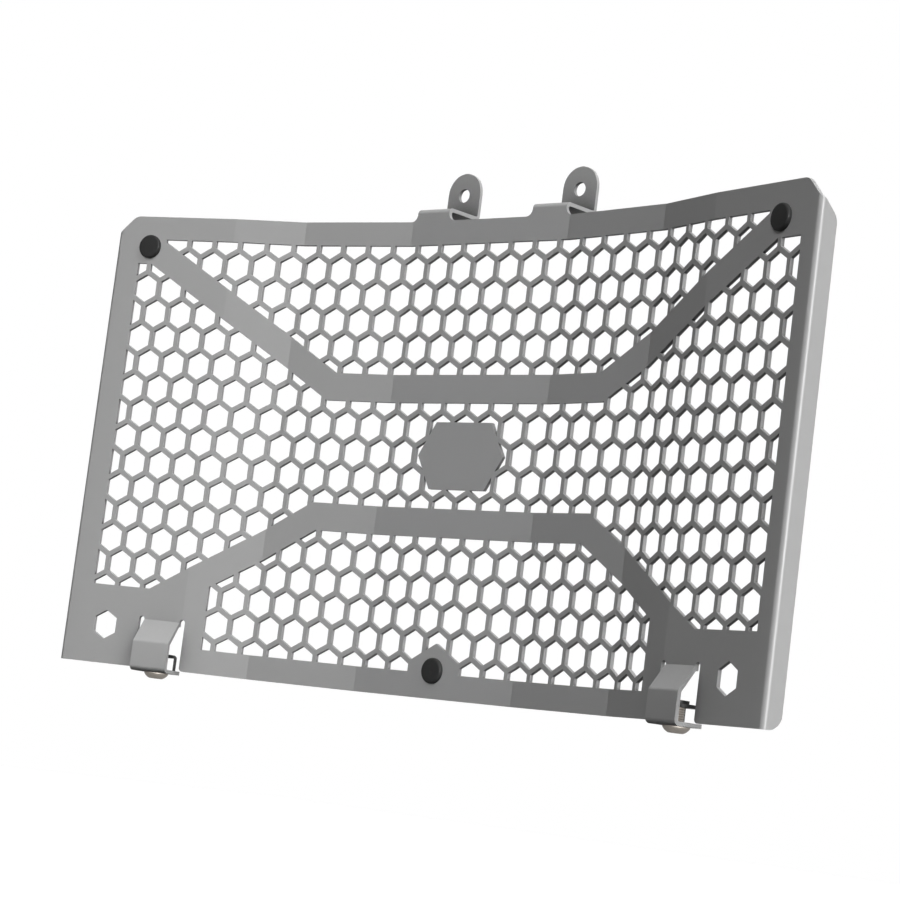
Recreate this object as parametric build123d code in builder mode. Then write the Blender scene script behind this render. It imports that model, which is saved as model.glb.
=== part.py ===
from build123d import *
import os
from math import atan, cos, radians, sqrt, tan

# Motorcycle radiator guard: one folded sheet punched with hexagonal cells, three push-in rubber
# buffers, and two lower brackets that each carry a clamp plate and the screw that tightens it.
# X runs to the right as seen from the front, -Y points to the front and Z points up.
# The origin lies midway between the two ear holes, on the back of the ears, which are bolted on there.
# "Along" is a distance along the unrolled sheet from the middle column of cells, positive to the right.
# "Up" is a height above the middle of the panel. Pairs of values are (left, right).

# Sheet and its folds, from the middle outwards
sheet = 1.5
bend_inside = 0.55
panel_height = 185.2
creases_left = (39.6, 91.4, 123.1)
creases_right = (39.8, 91.7, 124.7)
fold_angles = (9.0, 11.2, -4.6)  # degrees, towards the front

# Side flanges, bent to the back
flange_left = 178.65  # along, to the outer face
flange_right = 181.7
flange_depth = 7.75  # from the front of the panel
corner_cut = 7.7  # leg of the slanted cut at each upper corner
corner_round = 5.5

# Hexagonal cells, with a point at the top
cell = 10.0  # across flats
web = 2.0  # metal left between two cells
smallest_opening = 1.0  # square millimetres; a clipped cell below this stays shut
crease_margin = 0.2  # a cell closer than this to a crease is punched on the crease

# Solid bands between the three fields of cells
rail = 9.6
bar_width = 11.0
bar_rows = 2.5  # rows of cells from the middle of the panel to the middle of a bar
bar_level = 69.0  # along, where a bar stops being level
middle_field_drop = 19.8  # below the top of the panel
middle_field_rise = 31.85  # above the bottom of the panel
middle_field_left = 167.2
middle_field_right = 173.3
lower_field_side = 113.15

# Blank plate in the middle and gabled seat of the lower buffer
blank_length = 43.0
blank_flat = 28.0
blank_height = 26.0
gable_rise = 20.9  # peak above the bottom of the panel
gable_half = 12.5

# Hexagonal access holes in the lower corners
access_size = 10.2  # across flats
access_along = (-158.85, 160.55)
access_rise = 15.6  # above the bottom of the panel

# Upper ears
ear_spacing = 58.8
ear_hole = 5.5
ear_hole_rise = 14.1  # above the top of the panel
ear_over_hole = 8.95
ear_setback = 17.0  # from the middle of the sheet to the back of the ears
ear_step = 5.2  # from the top of the panel to the top of the shelf
ear_flat = 0.1  # between the two rounded corners of an ear
strip_width = 16.5  # of the ears and the lower brackets
foot_round = 3.0
fillet_share = 0.95  # most of a short wall that a rounding may take

# Lower brackets
bracket_along = (-132.35, 134.65)
bracket_root_rise = 19.1  # above the bottom of the panel
bracket_knee_rise = 10.1
bracket_reach = 6.2  # middle of the front wall, in front of the middle of the sheet
lip_back = 5.3  # end of the lip, behind the middle of the sheet
lip_round = 1.0
slit = 2.55
slit_rise = 1.5  # above the root of the bracket
notch_round = 1.5

# Clamp screws
screw_size = 5.0
screw_back = 0.45  # axis, behind the middle of the sheet
screw_tip = 0.1  # past the boss of the clamp plate
screw_chamfer = 0.4
head_size = 9.6
head_height = 2.35
head_rim = 0.4  # straight part of the head, next to the lip
head_flat = 5.0
head_dome = 4.0  # radius
socket_size = 3.0
socket_depth = 1.6
lip_clearance = 0.3

# Clamp plates
clamp_sheet = 1.2
clamp_bend_inside = 0.2
clamp_gap = 5.0  # from the lip to the clamp plate
clamp_back = 0.85  # middle of the round plate, behind the middle of the sheet
clamp_wall_gap = 0.25  # from the round plate to the front wall of the bracket
boss_wall = 1.05
boss_height = 1.2
leg_offset = 6.6  # from the middle of the round plate to the middle of the leg
leg_width = 5.8
leg_turn = 32.0  # degrees, from along the sheet towards the back
thread_clearance = 0.05

# Rubber buffers
buffer_head = 9.8
buffer_head_height = 1.65
buffer_edge = 0.5
buffer_hole = 6.0
buffer_clearance = 0.05
buffer_cushion = 9.0
buffer_tip = 6.5
buffer_cushion_depth = 3.5
upper_buffer_along = (-162.2, 162.2)
upper_buffer_drop = 12.8  # below the top of the panel
lower_buffer_rise = 10.5  # above the bottom of the panel

# Sizes that follow
bend_outside = bend_inside + sheet
bend_middle = bend_inside + sheet / 2
flange_flat = flange_depth - bend_outside
half_height = panel_height / 2
pitch = cell + web
row_height = pitch * sqrt(3) / 2
cell_radius = cell / sqrt(3)
field_edge = half_height - rail
upper_buffer_up = half_height - upper_buffer_drop
lower_buffer_up = lower_buffer_rise - half_height
bar_up = bar_rows * row_height
# The bars lead to the buffers
bar_rise = (upper_buffer_up - bar_up) / (upper_buffer_along[1] - bar_level)
bar_mitre = bar_width / 2 * tan(atan(bar_rise) / 2)
bracket_root = bracket_root_rise - half_height
bracket_knee = bracket_knee_rise - half_height
lip_up = -half_height - sheet / 2
notch_width = strip_width + 2 * slit
ear_hole_up = half_height + ear_hole_rise
sheet_y = -ear_setback
panel_z = -ear_hole_up
creases = {-1: creases_left, 1: creases_right}
flanges = {-1: flange_left, 1: flange_right}
sides = (-1, 1)
outermost = len(fold_angles)


def pick(pair, side):
    """The left or the right value of a pair."""
    return pair[(side + 1) // 2]


def facet(side, number):
    """Plane of a facet, counted outwards: x is along, y is up and z points to the front."""
    point = Vector(0, sheet_y, panel_z)
    along = Vector(1, 0, 0)
    reached = 0
    for crease, angle in zip(creases[side][:number], fold_angles):
        point += along * (side * crease - reached)
        along = along.rotate(Axis.Z, -side * angle)
        reached = side * crease
    return Plane(point - along * reached, x_dir=along, z_dir=Vector(along.Y, -along.X, 0))


def crease_plane(side, number):
    """Plane on a crease, square to the bisector of the two facets that meet there."""
    inner = facet(side, number)
    outer = facet(side, number + 1)
    point = inner.from_local_coords((side * creases[side][number], 0, 0))
    return Plane(point, x_dir=inner.x_dir + outer.x_dir, z_dir=inner.z_dir + outer.z_dir)


def half_section(side):
    """Front and back corners of half of the plan section, from the middle to the edge of the flange."""
    front = []
    back = []
    for number, angle in enumerate(fold_angles):
        mitre = sheet / 2 / cos(radians(angle / 2))
        front.append(crease_plane(side, number).from_local_coords((0, 0, mitre)))
        back.append(crease_plane(side, number).from_local_coords((0, 0, -mitre)))
    wing = facet(side, outermost)
    for line, inset in ((front, 0), (back, sheet)):
        face = side * (flanges[side] - inset)
        line.append(wing.from_local_coords((face, 0, sheet / 2 - inset)))
        line.append(wing.from_local_coords((face, 0, sheet / 2 - flange_depth)))
    return [(p.X, p.Y) for p in front], [(p.X, p.Y) for p in back]


def side_plane(plane, along):
    """Plane across the sheet at a place along it: x points to the front and y up."""
    return Plane(plane.from_local_coords((along, 0, 0)), x_dir=plane.z_dir, z_dir=-plane.x_dir)


def nearest_edge(plane, along, up, front=0):
    """The edge of the panel that passes closest to a place given on a facet."""
    return guard_panel.edges().sort_by_distance(plane.from_local_coords((along, up, front)))[0]


# Fields of cells, each with the plate that is left whole inside it
bar_outer = bar_up + bar_width / 2
bar_inner = bar_up - bar_width / 2
level_outer = bar_level - bar_mitre
level_inner = bar_level + bar_mitre
upper_corner = level_outer + (field_edge - bar_outer) / bar_rise
middle_field_top = half_height - middle_field_drop
middle_field_bottom = middle_field_rise - half_height
middle_upper = level_inner + (middle_field_top - bar_inner) / bar_rise
middle_lower = level_inner - (middle_field_bottom + bar_inner) / bar_rise
lower_corner = -bar_outer - (lower_field_side - level_outer) * bar_rise
gable_peak = gable_rise - half_height
gable_eave = gable_peak - gable_half / sqrt(3)  # the gable runs parallel to the sides of the cells
upper_field = (
    (-upper_corner, field_edge),
    (upper_corner, field_edge),
    (level_outer, bar_outer),
    (-level_outer, bar_outer),
)
middle_field = (
    (-middle_field_left, middle_field_top),
    (-middle_upper, middle_field_top),
    (-level_inner, bar_inner),
    (level_inner, bar_inner),
    (middle_upper, middle_field_top),
    (middle_field_right, middle_field_top),
    (middle_field_right, middle_field_bottom),
    (middle_lower, middle_field_bottom),
    (level_inner, -bar_inner),
    (-level_inner, -bar_inner),
    (-middle_lower, middle_field_bottom),
    (-middle_field_left, middle_field_bottom),
)
lower_field = (
    (-lower_field_side, -field_edge),
    (lower_field_side, -field_edge),
    (lower_field_side, lower_corner),
    (level_outer, -bar_outer),
    (-level_outer, -bar_outer),
    (-lower_field_side, lower_corner),
)
blank_plate = (
    (-blank_length / 2, 0),
    (-blank_flat / 2, blank_height / 2),
    (blank_flat / 2, blank_height / 2),
    (blank_length / 2, 0),
    (blank_flat / 2, -blank_height / 2),
    (-blank_flat / 2, -blank_height / 2),
)
buffer_gable = (
    (-gable_half, -half_height),
    (-gable_half, gable_eave),
    (0, gable_peak),
    (gable_half, gable_eave),
    (gable_half, -half_height),
)
fields = ((upper_field, ()), (middle_field, blank_plate), (lower_field, buffer_gable))
cell_outline = (
    (0, cell_radius),
    (-cell / 2, cell_radius / 2),
    (-cell / 2, -cell_radius / 2),
    (0, -cell_radius),
    (cell / 2, -cell_radius / 2),
    (cell / 2, cell_radius / 2),
)


def cell_centres(field, start, end):
    """Centres of the cells of a field in a range along the sheet; every other row is half a pitch off."""
    with BuildSketch() as area:
        Polygon(*field, align=None)
    rows = int(half_height / row_height) + 1
    columns = int(max(abs(start), abs(end)) / pitch) + 1
    centres = []
    for row in range(-rows, rows + 1):
        for column in range(-columns, columns + 1):
            along = column * pitch + (0 if row % 2 else pitch / 2)
            corners = [(along + x, row * row_height + y) for x, y in cell_outline]
            if start < along <= end and any(area.face().is_inside(corner) for corner in corners):
                centres.append((along, row * row_height))
    return centres


def punched_cells(plane, start, end, middle=0, squeeze=1):
    """Faces of the cells in one range, clipped to their fields, on the plane they are punched from."""
    faces = []
    for field, plate in fields:
        centres = cell_centres(field, start, end)
        if not centres:
            continue
        field_corners = [((along - middle) * squeeze, up) for along, up in field]
        plate_corners = [((along - middle) * squeeze, up) for along, up in plate]
        with BuildSketch(plane) as punch:
            with Locations(*[((along - middle) * squeeze, up) for along, up in centres]):
                Polygon(*[(x * squeeze, y) for x, y in cell_outline])
            Polygon(*field_corners, align=None, mode=Mode.INTERSECT)
            if plate:
                Polygon(*plate_corners, align=None, mode=Mode.SUBTRACT)
        faces += [face for face in punch.sketch.faces() if face.area > smallest_opening]
    return faces


# Cells that lie on one facet are punched square to it, and cells on a crease square to the crease
cell_faces = []
cell_half = cell / 2 + crease_margin
for side in sides:
    reaches = [0] + list(creases[side]) + [flanges[side]]
    for number in range(outermost + 1):
        inner = reaches[number] + (cell_half if number else 0)
        outer = reaches[number + 1] - cell_half
        span = (inner, outer) if side > 0 else (-outer, -inner)
        cell_faces += punched_cells(facet(side, number), *span)
    for number, angle in enumerate(fold_angles):
        crease = side * creases[side][number]
        span = (crease - cell_half, crease + cell_half)
        cell_faces += punched_cells(crease_plane(side, number), *span, crease, cos(radians(angle / 2)))

# Folded panel with its flanges, ears, brackets and holes
with BuildPart() as guard_panel:
    left_front, left_back = half_section(-1)
    right_front, right_back = half_section(1)
    with BuildSketch(Plane.XY.offset(panel_z - half_height)) as section:
        Polygon(*left_front[::-1], *right_front, *right_back[::-1], *left_back, align=None)
        for front, back in ((left_front, left_back), (right_front, right_back)):
            fillet(section.vertices().sort_by_distance((*front[-2], 0))[0], radius=bend_outside)
            fillet(section.vertices().sort_by_distance((*back[-2], 0))[0], radius=bend_inside)
    extrude(amount=panel_height)

    # Slanted upper corners and rounded ends of the flanges
    for side in sides:
        wing = facet(side, outermost)
        face = flanges[side]
        line_start = (side * (face - corner_cut - sheet), half_height + sheet)
        line_end = (side * (face + sheet), half_height - corner_cut - sheet)
        with BuildSketch(wing.offset(sheet / 2 - bend_outside)):
            Polygon(line_start, line_end, (line_end[0], line_start[1]), align=None)
        extrude(amount=2 * bend_outside, mode=Mode.SUBTRACT)
        flange_top = half_height - corner_cut + bend_outside
        with BuildSketch(side_plane(wing, side * face)):
            Polygon(
                (-sheet / 2, flange_top - sheet),
                (-sheet / 2, half_height + sheet),
                (-flange_depth - sheet, half_height + sheet),
                (-flange_depth - sheet, flange_top - flange_depth - sheet * 3 / 2),
                align=None,
            )
        extrude(amount=2 * sheet, both=True, mode=Mode.SUBTRACT)
        flange_edge = (side * (face - sheet / 2), sheet / 2 - flange_depth)
        fillet(
            [
                nearest_edge(wing, side * (face - corner_cut), half_height),
                nearest_edge(wing, flange_edge[0], flange_top - flange_depth, flange_edge[1]),
                nearest_edge(wing, flange_edge[0], -half_height, flange_edge[1]),
            ],
            radius=min(corner_round, flange_flat * fillet_share),
        )

    # Ears: a strip bent back over the top of the radiator and up again
    middle = facet(1, 0)
    shelf_up = half_height + ear_step - sheet / 2
    ear_front = sheet / 2 - ear_setback
    ear_top = ear_hole_up + ear_over_hole
    for side in sides:
        ear_along = side * ear_spacing / 2
        with BuildSketch(side_plane(middle, ear_along)):
            with BuildLine():
                FilletPolyline(
                    (0, half_height - sheet),
                    (0, shelf_up),
                    (ear_front, shelf_up),
                    (ear_front, ear_top),
                    radius=bend_middle,
                )
            trace(line_width=sheet)
        extrude(amount=strip_width / 2, both=True)
        strip_edges = (ear_along - strip_width / 2, ear_along + strip_width / 2)
        ear_corners = [nearest_edge(middle, along, ear_top, ear_front) for along in strip_edges]
        fillet(ear_corners, radius=(strip_width - ear_flat) / 2)
        foot = min(foot_round, (ear_step - bend_outside) * fillet_share)
        fillet([nearest_edge(middle, along, half_height) for along in strip_edges], radius=foot)
        with Locations(Plane((ear_along, 0, 0), z_dir=(0, 1, 0))):
            Hole(radius=ear_hole / 2, depth=2 * sheet)

    # Lower brackets: a tongue freed by two slits, bent forward, down and back under the panel
    for side in sides:
        wing = facet(side, outermost)
        bracket = pick(bracket_along, side)
        slit_length = half_height + bracket_root + slit_rise + slit
        with BuildSketch(wing):
            with Locations((bracket, bracket_root - half_height / 2 - slit_rise)):
                Rectangle(notch_width, half_height)
            with Locations(
                (bracket - strip_width / 2 - slit / 2, bracket_root + slit_rise - slit_length / 2),
                (bracket + strip_width / 2 + slit / 2, bracket_root + slit_rise - slit_length / 2),
            ):
                SlotOverall(slit_length, slit, rotation=90)
        extrude(amount=sheet, both=True, mode=Mode.SUBTRACT)
        notch_edges = (bracket - notch_width / 2, bracket + notch_width / 2)
        fillet([nearest_edge(wing, along, -half_height) for along in notch_edges], radius=notch_round)
        with BuildSketch(side_plane(wing, bracket)):
            with BuildLine():
                FilletPolyline(
                    (0, bracket_root + slit_rise / 2),
                    (0, bracket_root),
                    (bracket_reach, bracket_knee),
                    (bracket_reach, lip_up),
                    (-lip_back, lip_up),
                    radius=bend_middle,
                )
            trace(line_width=sheet)
        extrude(amount=strip_width / 2, both=True)
        strip_edges = (bracket - strip_width / 2, bracket + strip_width / 2)
        fillet([nearest_edge(wing, along, lip_up, -lip_back) for along in strip_edges], radius=lip_round)
        screw_place = wing.from_local_coords((bracket, lip_up + sheet, -screw_back))
        with Locations(Plane(screw_place)):
            Hole(radius=screw_size / 2 + lip_clearance, depth=2 * sheet)

    # Access holes in the lower corners and holes for the buffers
    for side in sides:
        wing = facet(side, outermost)
        with BuildSketch(wing):
            with Locations((pick(access_along, side), access_rise - half_height)):
                RegularPolygon(radius=access_size / sqrt(3), side_count=6, rotation=30)
            with Locations((pick(upper_buffer_along, side), upper_buffer_up)):
                Circle(buffer_hole / 2)
        extrude(amount=sheet, both=True, mode=Mode.SUBTRACT)
    with BuildSketch(middle):
        with Locations((0, lower_buffer_up)):
            Circle(buffer_hole / 2)
    extrude(amount=sheet, both=True, mode=Mode.SUBTRACT)

    # Cells
    extrude(cell_faces, amount=2 * sheet, both=True, mode=Mode.SUBTRACT)
guard_panel.part.label = "guard_panel"
os.makedirs("parts", exist_ok=True)
export_step(guard_panel.part, "parts/guard_panel.step")


# Rubber buffers, pushed through the sheet from the front
buffer_seats = {
    "rubber_buffer_top_left": (facet(-1, outermost), upper_buffer_along[0], upper_buffer_up),
    "rubber_buffer_top_right": (facet(1, outermost), upper_buffer_along[1], upper_buffer_up),
    "rubber_buffer_bottom": (facet(1, 0), 0, lower_buffer_up),
}
for name, (plane, along, up) in buffer_seats.items():
    place = Plane(plane.from_local_coords((along, up, 0)), x_dir=plane.x_dir, z_dir=-plane.y_dir)
    with BuildPart() as rubber_buffer:
        with BuildSketch(place) as half:
            Polygon(
                (0, sheet / 2 + buffer_head_height),
                (buffer_head / 2, sheet / 2 + buffer_head_height),
                (buffer_head / 2, sheet / 2),
                (buffer_hole / 2 - buffer_clearance, sheet / 2),
                (buffer_hole / 2 - buffer_clearance, -sheet / 2),
                (buffer_cushion / 2, -sheet / 2),
                (buffer_tip / 2, -sheet / 2 - buffer_cushion_depth),
                (0, -sheet / 2 - buffer_cushion_depth),
                align=None,
            )
            rims = half.vertices().filter_by_position(Axis.X, buffer_tip / 2, buffer_head / 2)
            chamfer([rims.sort_by(Axis.Y)[0], rims.sort_by(Axis.Y)[-1]], length=buffer_edge)
        revolve(axis=Axis(place.origin, place.y_dir))
    rubber_buffer.part.label = name
    export_step(rubber_buffer.part, f"parts/{name}.step")

# Lower clamps
lip_top = lip_up + sheet / 2
lip_bottom = lip_up - sheet / 2
clamp_bottom = lip_top + clamp_gap
clamp_middle = clamp_bottom + clamp_sheet / 2
boss_top = clamp_bottom + clamp_sheet + boss_height
clamp_round = bracket_reach - sheet / 2 + clamp_back - clamp_wall_gap
thread_radius = screw_size / 2 + thread_clearance
for side, hand in ((-1, "left"), (1, "right")):
    wing = facet(side, outermost)
    screw_point = wing.from_local_coords((pick(bracket_along, side), 0, -screw_back))
    clamp_point = wing.from_local_coords((pick(bracket_along, side), 0, -clamp_back))
    leg_direction = (wing.x_dir * -side).rotate(Axis.Z, -side * leg_turn)
    leg_side = leg_direction.cross(Vector(0, 0, 1))

    # Clamp plate: a round plate with a threaded boss, and a leg that stands on the lip
    with BuildPart() as clamp_plate:
        with BuildSketch(Plane(clamp_point, x_dir=leg_direction, z_dir=leg_side)):
            with BuildLine():
                FilletPolyline(
                    (0, clamp_middle),
                    (leg_offset, clamp_middle),
                    (leg_offset, lip_top),
                    radius=clamp_bend_inside + clamp_sheet / 2,
                )
            trace(line_width=clamp_sheet)
        extrude(amount=leg_width / 2, both=True)
        with BuildSketch(Plane(clamp_point).offset(clamp_bottom)):
            Circle(clamp_round)
        extrude(amount=clamp_sheet)
        with BuildSketch(Plane(screw_point).offset(clamp_bottom)):
            Circle(thread_radius + boss_wall)
        extrude(amount=boss_top - clamp_bottom)
        with Locations(Plane(screw_point).offset(boss_top)):
            Hole(radius=thread_radius)
    clamp_plate.part.label = f"clamp_plate_{hand}"
    export_step(clamp_plate.part, f"parts/clamp_plate_{hand}.step")

    # Screw: a button head under the lip, with a hexagonal socket, and a shank up through the boss
    with BuildPart() as clamp_screw:
        screw_plane = Plane(screw_point, x_dir=leg_direction, z_dir=leg_side)
        with BuildSketch(screw_plane):
            with BuildLine():
                Polyline(
                    (head_size / 2, lip_bottom - head_rim),
                    (head_size / 2, lip_bottom),
                    (screw_size / 2, lip_bottom),
                    (screw_size / 2, boss_top + screw_tip - screw_chamfer),
                    (screw_size / 2 - screw_chamfer, boss_top + screw_tip),
                    (0, boss_top + screw_tip),
                    (0, lip_bottom - head_height),
                    (head_flat / 2, lip_bottom - head_height),
                )
                RadiusArc(
                    (head_flat / 2, lip_bottom - head_height),
                    (head_size / 2, lip_bottom - head_rim),
                    -head_dome,
                )
            make_face()
        revolve(axis=Axis(screw_plane.origin, screw_plane.y_dir))
        with BuildSketch(Plane(screw_point).offset(lip_bottom - head_height)):
            RegularPolygon(radius=socket_size / sqrt(3), side_count=6)
        extrude(amount=socket_depth, mode=Mode.SUBTRACT)
    clamp_screw.part.label = f"clamp_screw_{hand}"
    export_step(clamp_screw.part, f"parts/clamp_screw_{hand}.step")
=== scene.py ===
from math import cos, pi, radians, sin, tan
import bmesh
import bpy
from mathutils import Matrix, Vector


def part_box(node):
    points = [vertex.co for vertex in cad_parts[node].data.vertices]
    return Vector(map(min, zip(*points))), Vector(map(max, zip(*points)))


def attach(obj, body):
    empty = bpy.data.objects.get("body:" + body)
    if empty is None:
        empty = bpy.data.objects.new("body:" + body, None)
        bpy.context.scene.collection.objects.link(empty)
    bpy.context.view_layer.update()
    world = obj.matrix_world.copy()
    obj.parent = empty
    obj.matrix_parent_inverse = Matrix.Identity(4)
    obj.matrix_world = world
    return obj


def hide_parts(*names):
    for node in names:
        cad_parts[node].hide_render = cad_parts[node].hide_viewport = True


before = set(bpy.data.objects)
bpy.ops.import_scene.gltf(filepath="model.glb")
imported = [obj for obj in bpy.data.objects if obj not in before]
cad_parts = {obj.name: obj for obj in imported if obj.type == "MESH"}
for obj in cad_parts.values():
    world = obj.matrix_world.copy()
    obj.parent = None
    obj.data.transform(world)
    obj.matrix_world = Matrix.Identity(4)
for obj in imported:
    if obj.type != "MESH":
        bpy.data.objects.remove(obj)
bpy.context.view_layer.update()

# Guard panel
# One aluminium sheet with rows of punched hexagonal cells. Flanges, ears and lower brackets are bent out of
# the same sheet. It is powder coated satin grey after folding, so every punched edge is a little rounded.
merge_distance = 1e-6
corner_angle = radians(25)  # an edge that turns more than this is a corner
fold_angles = (radians(9.0), radians(11.2), radians(-4.6))  # towards the front, from the middle outwards
fold_tolerance = radians(0.4)
upright_share = 0.999  # share of Z in the direction of an upright edge
coated_edge = 0.00012
edge_segments = 2
rounded_over = 4  # an edge is rounded where it and its sharp neighbours are this many roundings long
cloud_detail = 3
grain_detail = 2
cloud_range = (0.3, 0.7)  # values that most of the cloud lies between
painted_shade_tone = 0.15  # share of the tone that the painted shade leaves in a closed corner
painted_shade_samples = 8
cut_edge_share = 0.5  # share of Y in the normal, up to which a surface is a cut edge
sheet_face_share = 0.9  # share of Y in the normal, from which a surface is a face of the sheet


def merged_copy(node, name, folds=()):
    """A copy of a solid with its doubled points merged.

    Corners and upright folds stay sharp, and bends turn smoothly.
    """
    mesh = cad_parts[node].data.copy()
    mesh.name = name
    mesh.materials.clear()
    work = bmesh.new()
    work.from_mesh(mesh)
    bmesh.ops.remove_doubles(work, verts=work.verts, dist=merge_distance)
    for face in work.faces:
        face.smooth = True
    for edge in work.edges:
        turn = edge.calc_face_angle(pi)
        upright = abs((edge.verts[1].co - edge.verts[0].co).normalized().z) > upright_share
        fold = upright and any(abs(turn - abs(angle)) < fold_tolerance for angle in folds)
        edge.smooth = turn < corner_angle and not fold
    work.to_mesh(mesh)
    work.free()
    if "custom_normal" in mesh.attributes:
        mesh.attributes.remove(mesh.attributes["custom_normal"])
    piece = bpy.data.objects.new(name, mesh)
    bpy.context.scene.collection.objects.link(piece)
    return piece


def round_edges(piece, width):
    """Rounds the sharp edges of a piece, apart from those with very short neighbours."""
    work = bmesh.new()
    work.from_mesh(piece.data)
    weight = work.edges.layers.float.new("bevel_weight_edge")
    for edge in work.edges:
        beside = [near for corner in edge.verts for near in corner.link_edges if not near.smooth]
        long_enough = all(near.calc_length() > rounded_over * width for near in beside)
        edge[weight] = 1 if long_enough and edge.calc_face_angle(0) > corner_angle else 0
    work.to_mesh(piece.data)
    work.free()
    bevel = piece.modifiers.new("rounded_edges", "BEVEL")
    bevel.width = width
    bevel.segments = edge_segments
    bevel.limit_method = "WEIGHT"
    bevel.use_clamp_overlap = False
    bevel.harden_normals = True
    bpy.context.view_layer.update()
    evaluated = piece.evaluated_get(bpy.context.evaluated_depsgraph_get())
    rounded = bpy.data.meshes.new_from_object(evaluated)
    piece.modifiers.clear()
    piece.data = rounded


def grey(level):
    """A neutral colour."""
    return (level, level, level, 1)


def surface_grain():
    """Node group: a slow cloud for tone and roughness, and a fine grain for bump."""
    group = bpy.data.node_groups.new("surface_grain", "ShaderNodeTree")
    group.interface.new_socket("Position", in_out="INPUT", socket_type="NodeSocketVector")
    for name in ("Cloud Scale", "Grain Scale", "Smoothest", "Roughest"):
        group.interface.new_socket(name, in_out="INPUT", socket_type="NodeSocketFloat")
    for name in ("Cloud", "Roughness", "Grain"):
        group.interface.new_socket(name, in_out="OUTPUT", socket_type="NodeSocketFloat")
    given = group.nodes.new("NodeGroupInput")
    result = group.nodes.new("NodeGroupOutput")
    cloud = group.nodes.new("ShaderNodeTexNoise")
    grain = group.nodes.new("ShaderNodeTexNoise")
    spread = group.nodes.new("ShaderNodeMapRange")
    cloud.inputs["Detail"].default_value = cloud_detail
    grain.inputs["Detail"].default_value = grain_detail
    spread.inputs["From Min"].default_value = cloud_range[0]
    spread.inputs["From Max"].default_value = cloud_range[1]
    group.links.new(given.outputs["Position"], cloud.inputs["Vector"])
    group.links.new(given.outputs["Cloud Scale"], cloud.inputs["Scale"])
    group.links.new(given.outputs["Position"], grain.inputs["Vector"])
    group.links.new(given.outputs["Grain Scale"], grain.inputs["Scale"])
    group.links.new(cloud.outputs["Fac"], spread.inputs["Value"])
    group.links.new(given.outputs["Smoothest"], spread.inputs["To Min"])
    group.links.new(given.outputs["Roughest"], spread.inputs["To Max"])
    group.links.new(cloud.outputs["Fac"], result.inputs["Cloud"])
    group.links.new(spread.outputs["Result"], result.inputs["Roughness"])
    group.links.new(grain.outputs["Fac"], result.inputs["Grain"])
    return group


grain_group = surface_grain()


def grained_material(name, dark, light, cloud_scale, grain_scale, roughness, relief, specular, metallic):
    """A finish whose tone and gloss drift slowly, with a fine grain of the given relief in metres."""
    material = bpy.data.materials.new(name)
    material.use_nodes = True
    nodes = material.node_tree.nodes
    links = material.node_tree.links
    shader = nodes["Principled BSDF"]
    shader.inputs["Specular IOR Level"].default_value = specular
    shader.inputs["Metallic"].default_value = metallic
    place = nodes.new("ShaderNodeTexCoord")
    grain = nodes.new("ShaderNodeGroup")
    grain.node_tree = grain_group
    grain.inputs["Cloud Scale"].default_value = cloud_scale
    grain.inputs["Grain Scale"].default_value = grain_scale
    grain.inputs["Smoothest"].default_value = roughness[0]
    grain.inputs["Roughest"].default_value = roughness[1]
    tone = nodes.new("ShaderNodeMix")
    tone.data_type = "RGBA"
    tone.inputs["A"].default_value = dark
    tone.inputs["B"].default_value = light
    bump = nodes.new("ShaderNodeBump")
    bump.inputs["Strength"].default_value = 1
    bump.inputs["Distance"].default_value = relief
    links.new(place.outputs["Object"], grain.inputs["Position"])
    links.new(grain.outputs["Cloud"], tone.inputs["Factor"])
    links.new(tone.outputs["Result"], shader.inputs["Base Color"])
    links.new(grain.outputs["Roughness"], shader.inputs["Roughness"])
    links.new(grain.outputs["Grain"], bump.inputs["Height"])
    links.new(bump.outputs["Normal"], shader.inputs["Normal"])
    return material


def paint_corner_shade(material, reach, edge_range, face_range):
    """Paints shade into a finish's colour, darker in corners and next to other walls: on cut edges, and on
    the sheet's faces.

    The two ranges say how open a place is when it is darkest and when it keeps its full tone.
    """
    nodes = material.node_tree.nodes
    links = material.node_tree.links
    shader = nodes["Principled BSDF"]
    tone = shader.inputs["Base Color"].links[0].from_socket
    # Painted shade: how enclosed a place is darkens the base colour, it is not real light
    openness = nodes.new("ShaderNodeAmbientOcclusion")
    openness.only_local = True
    openness.samples = painted_shade_samples
    openness.inputs["Distance"].default_value = reach
    facing = nodes.new("ShaderNodeNewGeometry")
    split = nodes.new("ShaderNodeSeparateXYZ")
    share = nodes.new("ShaderNodeMath")
    share.operation = "ABSOLUTE"
    on_face = nodes.new("ShaderNodeMapRange")
    on_face.inputs["From Min"].default_value = cut_edge_share
    on_face.inputs["From Max"].default_value = sheet_face_share
    links.new(facing.outputs["Normal"], split.inputs["Vector"])
    links.new(split.outputs["Y"], share.inputs[0])
    links.new(share.outputs["Value"], on_face.inputs["Value"])
    chosen = nodes.new("ShaderNodeMix")
    links.new(on_face.outputs["Result"], chosen.inputs["Factor"])
    for side, (closed, open_from) in (("A", edge_range), ("B", face_range)):
        depth = nodes.new("ShaderNodeMapRange")
        depth.inputs["From Min"].default_value = closed
        depth.inputs["From Max"].default_value = open_from
        depth.inputs["To Min"].default_value = painted_shade_tone
        links.new(openness.outputs["AO"], depth.inputs["Value"])
        links.new(depth.outputs["Result"], chosen.inputs[side])
    shaded = nodes.new("ShaderNodeMix")
    shaded.data_type = "RGBA"
    shaded.blend_type = "MULTIPLY"
    shaded.inputs["Factor"].default_value = 1
    links.new(tone, shaded.inputs["A"])
    links.new(chosen.outputs["Result"], shaded.inputs["B"])
    links.new(shaded.outputs["Result"], shader.inputs["Base Color"])


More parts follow.
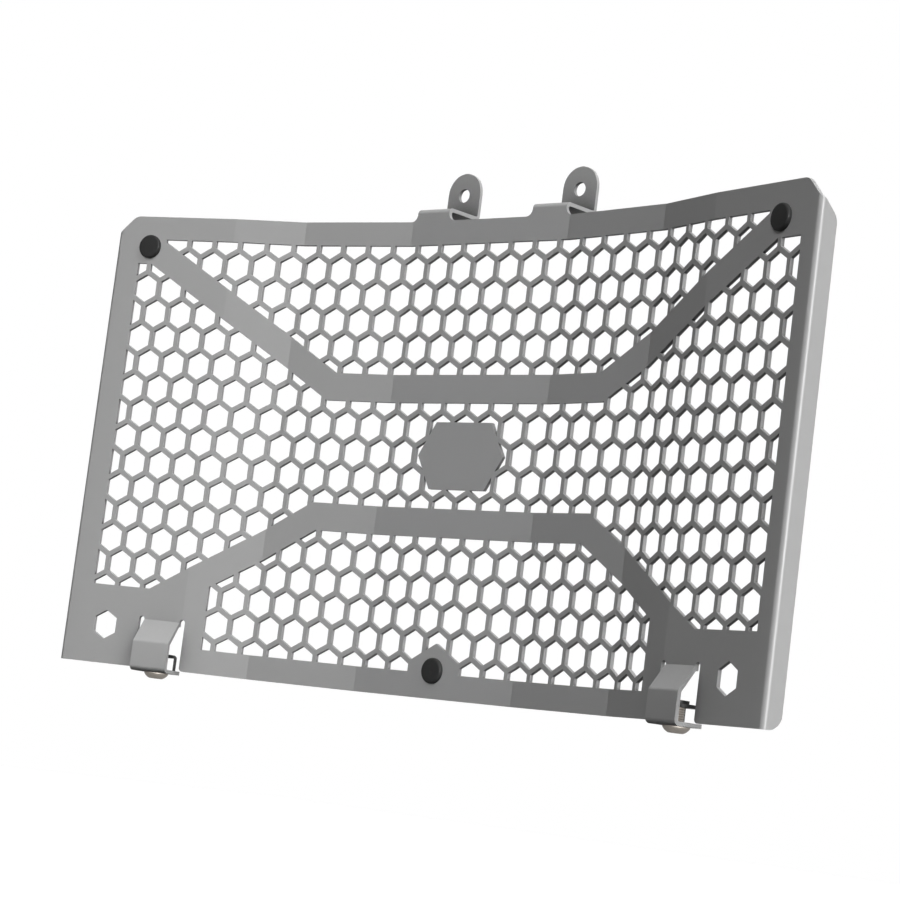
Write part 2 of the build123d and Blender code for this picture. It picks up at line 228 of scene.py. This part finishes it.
satin_coat = grained_material(
    "satin_grey_coat",
    dark=grey(0.41),
    light=grey(0.43),
    cloud_scale=40,
    grain_scale=1400,
    roughness=(0.36, 0.42),
    relief=0.000003,
    specular=0,
    metallic=0.03,
)
# Shade is painted into the coat's colour: darker in corners, inside the cells and beside the brackets and
# ears
paint_corner_shade(satin_coat, reach=0.03, edge_range=(0.3, 0.95), face_range=(0.5, 0.97))
panel = merged_copy("guard_panel", "coated_panel", fold_angles)
round_edges(panel, coated_edge)
panel.data.materials.append(satin_coat)
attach(panel, "root")
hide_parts("guard_panel")

# Rubber buffers
# Three black rubber plugs, moulded in one piece and pushed through holes of the sheet from the front.
# A flat round head stays in front, and a cushion behind the sheet keeps the panel off the radiator.
wing_turn = sum(fold_angles)
panel_sheet = 0.0015
buffer_head = 0.0049  # radius, as in the next three
buffer_stem = 0.00295
buffer_cushion = 0.0045
buffer_tip = 0.00325
head_thickness = 0.00165
cushion_depth = 0.0035
head_rounding = 0.00085
small_rounding = 0.0003
round_columns = 72
round_steps = 8


def softened(corners):
    """An outline of (distance from the axis, height, rounding) with its corners rounded."""
    outline = []
    for index, (out, height, rounding) in enumerate(corners):
        corner = Vector((out, height))
        if not rounding:
            outline.append(corner)
            continue
        before = (Vector(corners[index - 1][:2]) - corner).normalized()
        after = (Vector(corners[index + 1][:2]) - corner).normalized()
        half = before.angle(after) / 2
        middle = corner + (before + after).normalized() * rounding / sin(half)
        start = corner + before * rounding / tan(half) - middle
        end = corner + after * rounding / tan(half) - middle
        steps = [step / round_steps for step in range(round_steps + 1)]
        outline += [middle + start.slerp(end, step) * rounding for step in steps]
    return outline


def six_sided(half_width, angle):
    """Distance from the axis to the side of a hexagon."""
    return half_width / cos((angle % (pi / 3)) - pi / 6)


def turned_rings(work, outline, hexagons=()):
    """Closed round body about Z; rings with an index in hexagons are six-sided."""
    rings = []
    for index, (out, height) in enumerate(outline):
        ring = []
        for column in range(round_columns if out else 1):
            angle = 2 * pi * column / round_columns
            reach = six_sided(out, angle) if index in hexagons else out
            ring.append(work.verts.new((reach * cos(angle), reach * sin(angle), height)))
        rings.append(ring)
    for ring, following in zip(rings, rings[1:]):
        for column in range(round_columns):
            corners = []
            for corner in (
                ring[column % len(ring)],
                ring[(column + 1) % len(ring)],
                following[(column + 1) % len(following)],
                following[column % len(following)],
            ):
                if corner not in corners:
                    corners.append(corner)
            work.faces.new(corners)
    bmesh.ops.recalc_face_normals(work, faces=work.faces)


def front_seat(node, front):
    """Place on the axis of a round solid, at the end that faces the given way."""
    up = Vector((0, 0, 1))
    across = front.cross(up)
    corners = [vertex.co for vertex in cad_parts[node].data.vertices]
    spread = [[corner.dot(way) for corner in corners] for way in (across, up, front)]
    sideways = across * (min(spread[0]) + max(spread[0])) / 2
    upwards = up * (min(spread[1]) + max(spread[1])) / 2
    return sideways + upwards + front * max(spread[2])


def finish_turned(work, name, material):
    """A piece from a round body, smooth apart from its sharp corners."""
    for face in work.faces:
        face.material_index = 0
    mesh = bpy.data.meshes.new(name)
    work.to_mesh(mesh)
    work.free()
    mesh.shade_smooth()
    mesh.set_sharp_from_angle(angle=corner_angle)
    mesh.materials.append(material)
    piece = bpy.data.objects.new(name, mesh)
    bpy.context.scene.collection.objects.link(piece)
    return piece


rubber = grained_material(
    "black_rubber",
    dark=grey(0.036),
    light=grey(0.044),
    cloud_scale=120,
    grain_scale=2600,
    roughness=(0.22, 0.28),
    relief=0.000002,
    specular=0.035,
    metallic=0,
)
sheet_back = -head_thickness - panel_sheet
buffer_end = sheet_back - cushion_depth
buffer_outline = softened((
    (0, 0, 0),
    (buffer_head, 0, head_rounding),
    (buffer_head, -head_thickness, 0),
    (buffer_stem, -head_thickness, 0),
    (buffer_stem, sheet_back, 0),
    (buffer_cushion, sheet_back, small_rounding),
    (buffer_tip, buffer_end, small_rounding),
    (0, buffer_end, 0),
))
for place, turn in (("top_left", wing_turn), ("top_right", -wing_turn), ("bottom", 0)):
    node = "rubber_buffer_" + place
    front = Vector((sin(turn), -cos(turn), 0))
    work = bmesh.new()
    turned_rings(work, buffer_outline)
    facing_front = front.to_track_quat("Z", "Y").to_matrix().to_4x4()
    seated = Matrix.Translation(front_seat(node, front)) @ facing_front
    bmesh.ops.transform(work, matrix=seated, verts=work.verts)
    buffer = finish_turned(work, "moulded_buffer_" + place, rubber)
    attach(buffer, "root")
    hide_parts(node)

# Clamp plates
# Small steel angles with a threaded boss, coated black. The leg stands on the lip of the bracket and the
# round plate presses a lug of the radiator down on the lip.
clamp_edge = 0.00012
black_coat = grained_material(
    "black_coated_steel",
    dark=grey(0.015),
    light=grey(0.021),
    cloud_scale=150,
    grain_scale=1800,
    roughness=(0.4, 0.5),
    relief=0.000006,
    specular=0.04,
    metallic=0,
)
for hand in ("left", "right"):
    node = "clamp_plate_" + hand
    plate = merged_copy(node, "coated_clamp_" + hand)
    round_edges(plate, clamp_edge)
    plate.data.materials.append(black_coat)
    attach(plate, "root")
    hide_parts(node)

# Clamp screws
# Stainless M5 button-head screws with a hexagonal socket. The head is turned on a lathe and sits under
# the lip. The thread is rolled on the shank, which goes up through the lip into the boss of the plate.
head_height = 0.00235
head_rim = 0.0004
head_size = 0.0048  # radius, as in the next two
head_flat = 0.0025
head_dome = 0.004
head_edge = 0.00012
dome_steps = 10
socket_half = 0.0015  # half the width across flats
socket_mouth = 0.0019
socket_bevel = 0.0002
socket_depth = 0.0016
shank_root = 0.0003  # how deep the shank runs into the head
thread_size = 0.005
thread_pitch = 0.0008
thread_depth = 0.00045
tip_chamfer = 0.0004
thread_columns = 40
rings_a_turn = 8


def thread_tree():
    """Geometry nodes: an upright round bar with a helical groove, tapered at its upper end."""
    tree = bpy.data.node_groups.new("rolled_thread", "GeometryNodeTree")
    for name in ("Size", "Pitch", "Depth", "Length", "Chamfer"):
        tree.interface.new_socket(name, in_out="INPUT", socket_type="NodeSocketFloat")
    for name in ("Columns", "Rings"):
        tree.interface.new_socket(name, in_out="INPUT", socket_type="NodeSocketInt")
    tree.interface.new_socket("Foot", in_out="INPUT", socket_type="NodeSocketVector")
    tree.interface.new_socket("Finish", in_out="INPUT", socket_type="NodeSocketMaterial")
    tree.interface.new_socket("Bar", in_out="OUTPUT", socket_type="NodeSocketGeometry")
    join = tree.links.new
    given = tree.nodes.new("NodeGroupInput")
    result = tree.nodes.new("NodeGroupOutput")

    def calculate(operation, *values):
        node = tree.nodes.new("ShaderNodeMath")
        node.operation = operation
        for socket, value in zip(node.inputs, values):
            if isinstance(value, (int, float)):
                socket.default_value = value
            else:
                join(value, socket)
        return node.outputs["Value"]

    # A plain bar with its middle at the origin
    radius = calculate("MULTIPLY", given.outputs["Size"], 0.5)
    half_length = calculate("MULTIPLY", given.outputs["Length"], 0.5)
    bar = tree.nodes.new("GeometryNodeMeshCylinder")
    bar.fill_type = "TRIANGLE_FAN"
    join(given.outputs["Columns"], bar.inputs["Vertices"])
    join(given.outputs["Rings"], bar.inputs["Side Segments"])
    join(radius, bar.inputs["Radius"])
    join(given.outputs["Length"], bar.inputs["Depth"])

    # How far the surface reaches from the axis, in the groove and at the tip
    position = tree.nodes.new("GeometryNodeInputPosition")
    parts = tree.nodes.new("ShaderNodeSeparateXYZ")
    join(position.outputs["Position"], parts.inputs["Vector"])
    around = calculate("DIVIDE", calculate("ARCTAN2", parts.outputs["Y"], parts.outputs["X"]), 2 * pi)
    climb = calculate("DIVIDE", parts.outputs["Z"], given.outputs["Pitch"])
    groove = calculate("PINGPONG", calculate("SUBTRACT", climb, around), 0.5)
    cut = calculate("MULTIPLY", calculate("MULTIPLY", groove, 2), given.outputs["Depth"])
    threaded = calculate("SUBTRACT", radius, cut)
    below_tip = calculate("SUBTRACT", half_length, parts.outputs["Z"])
    tapered = calculate("ADD", calculate("SUBTRACT", radius, given.outputs["Chamfer"]), below_tip)
    reach = calculate("MINIMUM", threaded, tapered)

    # Each point moves along its own spoke, at its own height
    flat = tree.nodes.new("ShaderNodeCombineXYZ")
    join(parts.outputs["X"], flat.inputs["X"])
    join(parts.outputs["Y"], flat.inputs["Y"])
    outwards = tree.nodes.new("ShaderNodeVectorMath")
    outwards.operation = "NORMALIZE"
    join(flat.outputs["Vector"], outwards.inputs[0])
    spoke = tree.nodes.new("ShaderNodeVectorMath")
    spoke.operation = "SCALE"
    join(outwards.outputs["Vector"], spoke.inputs[0])
    join(reach, spoke.inputs["Scale"])
    lift = tree.nodes.new("ShaderNodeCombineXYZ")
    join(parts.outputs["Z"], lift.inputs["Z"])
    place = tree.nodes.new("ShaderNodeVectorMath")
    place.operation = "ADD"
    join(spoke.outputs["Vector"], place.inputs[0])
    join(lift.outputs["Vector"], place.inputs[1])
    grooved = tree.nodes.new("GeometryNodeSetPosition")
    join(bar.outputs["Mesh"], grooved.inputs["Geometry"])
    join(place.outputs["Vector"], grooved.inputs["Position"])

    # The bar stands on its foot
    half_up = tree.nodes.new("ShaderNodeCombineXYZ")
    join(half_length, half_up.inputs["Z"])
    stand = tree.nodes.new("ShaderNodeVectorMath")
    stand.operation = "ADD"
    join(given.outputs["Foot"], stand.inputs[0])
    join(half_up.outputs["Vector"], stand.inputs[1])
    raised = tree.nodes.new("GeometryNodeTransform")
    join(grooved.outputs["Geometry"], raised.inputs["Geometry"])
    join(stand.outputs["Vector"], raised.inputs["Translation"])
    real = tree.nodes.new("GeometryNodeRealizeInstances")
    finish = tree.nodes.new("GeometryNodeSetMaterial")
    join(raised.outputs["Geometry"], real.inputs["Geometry"])
    join(real.outputs["Geometry"], finish.inputs["Geometry"])
    join(given.outputs["Finish"], finish.inputs["Material"])
    join(finish.outputs["Geometry"], result.inputs["Bar"])
    return tree


def made_by_nodes(tree, values):
    """The mesh that a tree gives for the values of its named inputs."""
    carrier = bpy.data.objects.new(tree.name, bpy.data.meshes.new(tree.name))
    bpy.context.scene.collection.objects.link(carrier)
    modifier = carrier.modifiers.new(tree.name, "NODES")
    modifier.node_group = tree
    for socket in tree.interface.items_tree:
        if socket.in_out == "INPUT":
            modifier[socket.identifier] = values[socket.name]
    bpy.context.view_layer.update()
    evaluated = carrier.evaluated_get(bpy.context.evaluated_depsgraph_get())
    mesh = bpy.data.meshes.new_from_object(evaluated)
    bpy.data.objects.remove(carrier)
    return mesh


def dome(start, end, radius):
    """Points of an arc that bulges away from the axis, without its two ends."""
    chord = end - start
    inwards = Vector((chord.y, -chord.x)).normalized()
    middle = (start + end) / 2 + inwards * (radius ** 2 - (chord.length / 2) ** 2) ** 0.5
    steps = [step / dome_steps for step in range(1, dome_steps)]
    return [middle + (start - middle).slerp(end - middle, step) * radius for step in steps]


stainless = grained_material(
    "stainless_steel",
    dark=(0.14, 0.127, 0.114, 1),
    light=(0.18, 0.167, 0.15, 1),
    cloud_scale=300,
    grain_scale=3000,
    roughness=(0.60, 0.68),
    relief=0.000002,
    specular=0.5,
    metallic=1,
)
rolled_thread = thread_tree()
rim_end = Vector((head_size, -head_rim))
flat_edge = Vector((head_flat, -head_height))
socket_floor = socket_depth - head_height
head_outline = softened(((0, 0, 0), (head_size, 0, head_edge), (head_size, -head_rim, 0)))
head_outline += dome(rim_end, flat_edge, head_dome)
head_outline += [flat_edge, Vector((socket_mouth, -head_height))]
first_hexagon = len(head_outline)
head_outline += [Vector((socket_half, socket_bevel - head_height)), Vector((socket_half, socket_floor))]
head_outline += [Vector((0, socket_floor))]
for hand in ("left", "right"):
    node = "clamp_screw_" + hand
    lowest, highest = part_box(node)
    lip_bottom = lowest[2] + head_height
    foot = Vector(((lowest[0] + highest[0]) / 2, (lowest[1] + highest[1]) / 2, lip_bottom))
    length = highest[2] - lip_bottom + shank_root
    thread = made_by_nodes(rolled_thread, {
        "Size": thread_size,
        "Pitch": thread_pitch,
        "Depth": thread_depth,
        "Length": length,
        "Chamfer": tip_chamfer,
        "Columns": thread_columns,
        "Rings": round(length / thread_pitch * rings_a_turn),
        "Foot": foot - Vector((0, 0, shank_root)),
        "Finish": stainless,
    })
    work = bmesh.new()
    turned_rings(work, head_outline, (first_hexagon, first_hexagon + 1))
    bmesh.ops.translate(work, vec=foot, verts=work.verts)
    work.from_mesh(thread)
    screw = finish_turned(work, "turned_screw_" + hand, stainless)
    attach(screw, "root")
    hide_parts(node)

# Studio
# A pale floor well below the hanging guard, and soft lamps on the right, in front and behind. The floor and
# the surroundings look white to the camera and in reflections, and give almost no light of their own.
floor_height = -0.42
floor_half = 8.0
floor_pale = 0.8
floor_dim = 0.06  # how the floor looks from the guard, so that it throws little light up
floor_glow = 0.34


def white_to_camera(tree):
    """1 where the ray comes from the camera, a mirror or glass, and 0 for scattered light."""
    path = tree.nodes.new("ShaderNodeLightPath")
    first = tree.nodes.new("ShaderNodeMath")
    first.operation = "MAXIMUM"
    second = tree.nodes.new("ShaderNodeMath")
    second.operation = "MAXIMUM"
    tree.links.new(path.outputs["Is Camera Ray"], first.inputs[0])
    tree.links.new(path.outputs["Is Glossy Ray"], first.inputs[1])
    tree.links.new(first.outputs["Value"], second.inputs[0])
    tree.links.new(path.outputs["Is Transmission Ray"], second.inputs[1])
    return second.outputs["Value"]


def far_lamp(name, azimuth, elevation, width, strength, shadows=True, lights=True):
    """A round lamp far away, placed in degrees. One that doesn't light only shows as a shine."""
    lamp_data = bpy.data.lights.new(name, "SUN")
    lamp_data.angle = radians(width)
    lamp_data.energy = strength
    lamp_data.use_shadow = shadows
    lamp = bpy.data.objects.new(name, lamp_data)
    lamp.visible_diffuse = lights
    level = cos(radians(elevation))
    right = sin(radians(azimuth)) * level
    forwards = cos(radians(azimuth)) * level
    towards_lamp = Vector((right, -forwards, sin(radians(elevation))))
    lamp.rotation_euler = towards_lamp.to_track_quat("Z", "Y").to_euler()
    bpy.context.scene.collection.objects.link(lamp)


floor_mesh = bpy.data.meshes.new("floor")
floor_ends = ((-1, -1), (1, -1), (1, 1), (-1, 1))
floor_corners = [(x * floor_half, y * floor_half, floor_height) for x, y in floor_ends]
floor_mesh.from_pydata(floor_corners, [], [(0, 1, 2, 3)])
floor = bpy.data.objects.new("floor", floor_mesh)
bpy.context.scene.collection.objects.link(floor)
floor_paint = bpy.data.materials.new("pale_floor")
floor_paint.use_nodes = True
floor_tree = floor_paint.node_tree
floor_shader = floor_tree.nodes["Principled BSDF"]
floor_shader.inputs["Roughness"].default_value = 1
floor_shader.inputs["Specular IOR Level"].default_value = 0
floor_shader.inputs["Emission Color"].default_value = grey(1)
floor_tone = floor_tree.nodes.new("ShaderNodeMix")
floor_tone.data_type = "RGBA"
floor_tone.inputs["A"].default_value = grey(floor_dim)
floor_tone.inputs["B"].default_value = grey(floor_pale)
floor_shine = floor_tree.nodes.new("ShaderNodeMath")
floor_shine.operation = "MULTIPLY"
floor_shine.inputs[1].default_value = floor_glow
floor_seen = white_to_camera(floor_tree)
floor_tree.links.new(floor_seen, floor_tone.inputs["Factor"])
floor_tree.links.new(floor_seen, floor_shine.inputs[0])
floor_tree.links.new(floor_tone.outputs["Result"], floor_shader.inputs["Base Color"])
floor_tree.links.new(floor_shine.outputs["Value"], floor_shader.inputs["Emission Strength"])
floor_mesh.materials.append(floor_paint)

world = bpy.data.worlds.new("white_surroundings")
world.use_nodes = True
bpy.context.scene.world = world
world_tree = world.node_tree
background = world_tree.nodes["Background"]
background.inputs["Color"].default_value = grey(1)
world_tree.links.new(white_to_camera(world_tree), background.inputs["Strength"])

far_lamp("side_lamp", azimuth=75, elevation=37.5, width=20, strength=0.9)
far_lamp("side_fill", azimuth=75, elevation=37.5, width=20, strength=2.62, shadows=False)
far_lamp("front_lamp", azimuth=20, elevation=30, width=30, strength=1.04)
far_lamp("shine_strip", azimuth=59, elevation=8, width=8, strength=11, shadows=False, lights=False)
far_lamp("back_lamp", azimuth=228, elevation=12, width=40, strength=2.2)

# Camera
# It stands in front on the right, a little below the guard, and is tilted sideways.
camera_place = Vector((0.7010, -0.8027, -0.2265))
camera_aim = Vector((-0.00607, -0.0170, -0.10430))
camera_roll = radians(7.19)
camera_sensor = 36  # millimetres, as the lens
camera_lens = 111.45
camera_data = bpy.data.cameras.new("camera")
camera_data.sensor_width = camera_sensor
camera_data.lens = camera_lens
camera = bpy.data.objects.new("camera", camera_data)
camera_turn = (camera_aim - camera_place).to_track_quat("-Z", "Y").to_matrix().to_4x4()
camera_tilt = Matrix.Rotation(camera_roll, 4, "Z")
camera.matrix_world = Matrix.Translation(camera_place) @ camera_turn @ camera_tilt
bpy.context.scene.collection.objects.link(camera)
bpy.context.scene.camera = camera
bpy.context.scene.view_settings.view_transform = "Standard"
